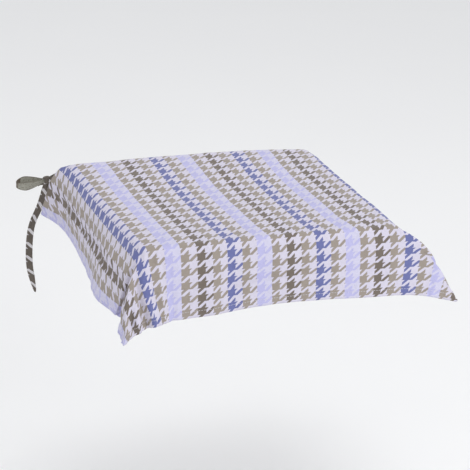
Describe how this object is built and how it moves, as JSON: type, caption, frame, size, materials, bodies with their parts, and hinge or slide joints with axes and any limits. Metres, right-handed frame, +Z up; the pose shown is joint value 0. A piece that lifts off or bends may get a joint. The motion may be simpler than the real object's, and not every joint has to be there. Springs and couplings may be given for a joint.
{
  "type": "chair seat pad",
  "caption": "Thin square seat pad under a printed cloth that hangs over the seat edges on all sides and is tied round the two back posts with bows.",
  "frame": {"origin": "middle of the pad's underside, where it rests on the chair seat", "axes": "+Z up, -Y towards the front edge of the seat, +X to the right seen from the front"},
  "size_m": [0.5751, 0.488, 0.2205],
  "materials": {
    "cloth": "matte printed plain weave cotton",
    "strap": "matte printed cotton, folded and stitched",
    "lining": "matte plain cotton",
    "foam": "open cell polyurethane foam",
    "thread": "spun polyester sewing thread"
  },
  "bodies": {
    "pad": {"cover_cloth": "cloth", "foam_core": "foam", "base_lining": "lining", "pad_seam_thread": "thread", "hem_thread_left": "thread", "hem_thread_right": "thread", "hem_thread_front": "thread", "hem_thread_rear": "thread", "bartack_left_side": "thread", "bartack_right_side": "thread", "bartack_left_rear": "thread", "bartack_right_rear": "thread", "tie_left_knot": "strap", "tie_left_front_lead": "strap", "tie_left_rear_lead": "strap", "tie_right_knot": "strap", "tie_right_front_lead": "strap", "tie_right_rear_lead": "strap"},
    "left_loop_outer": {"tie_left_loop_outer": "strap"},
    "left_loop_inner": {"tie_left_loop_inner": "strap"},
    "left_tail_outer": {"tie_left_tail_outer": "strap"},
    "left_tail_inner": {"tie_left_tail_inner": "strap"},
    "right_loop_outer": {"tie_right_loop_outer": "strap"},
    "right_loop_inner": {"tie_right_loop_inner": "strap"},
    "right_tail_outer": {"tie_right_tail_outer": "strap"},
    "right_tail_inner": {"tie_right_tail_inner": "strap"}
  },
  "joints": [
    {"name": "left_loop_outer_swing", "type": "hinge", "parent": "pad", "child": "left_loop_outer", "pos_m": [-0.229, 0.213, -0.011], "axis": [0, 1, 0], "range_deg": [-20, 35]},
    {"name": "left_loop_inner_swing", "type": "hinge", "parent": "pad", "child": "left_loop_inner", "pos_m": [-0.229, 0.213, -0.011], "axis": [0.9839, -0.179, 0], "range_deg": [-6, 30]},
    {"name": "left_tail_outer_swing", "type": "hinge", "parent": "pad", "child": "left_tail_outer", "pos_m": [-0.229, 0.213, -0.011], "axis": [0, 1, 0], "range_deg": [0, 20]},
    {"name": "left_tail_inner_swing", "type": "hinge", "parent": "pad", "child": "left_tail_inner", "pos_m": [-0.229, 0.213, -0.011], "axis": [1, 0, 0], "range_deg": [0, 12]},
    {"name": "right_loop_outer_swing", "type": "hinge", "parent": "pad", "child": "right_loop_outer", "pos_m": [0.214, 0.232, -0.014], "axis": [0, 1, 0], "range_deg": [-40, 4]},
    {"name": "right_loop_inner_swing", "type": "hinge", "parent": "pad", "child": "right_loop_inner", "pos_m": [0.214, 0.232, -0.014], "axis": [1, 0, 0], "range_deg": [-4, 35]},
    {"name": "right_tail_outer_swing", "type": "hinge", "parent": "pad", "child": "right_tail_outer", "pos_m": [0.214, 0.232, -0.014], "axis": [0, 1, 0], "range_deg": [-4, 8]},
    {"name": "right_tail_inner_swing", "type": "hinge", "parent": "pad", "child": "right_tail_inner", "pos_m": [0.214, 0.232, -0.014], "axis": [1, 0, 0], "range_deg": [0, 14]}
  ]
}
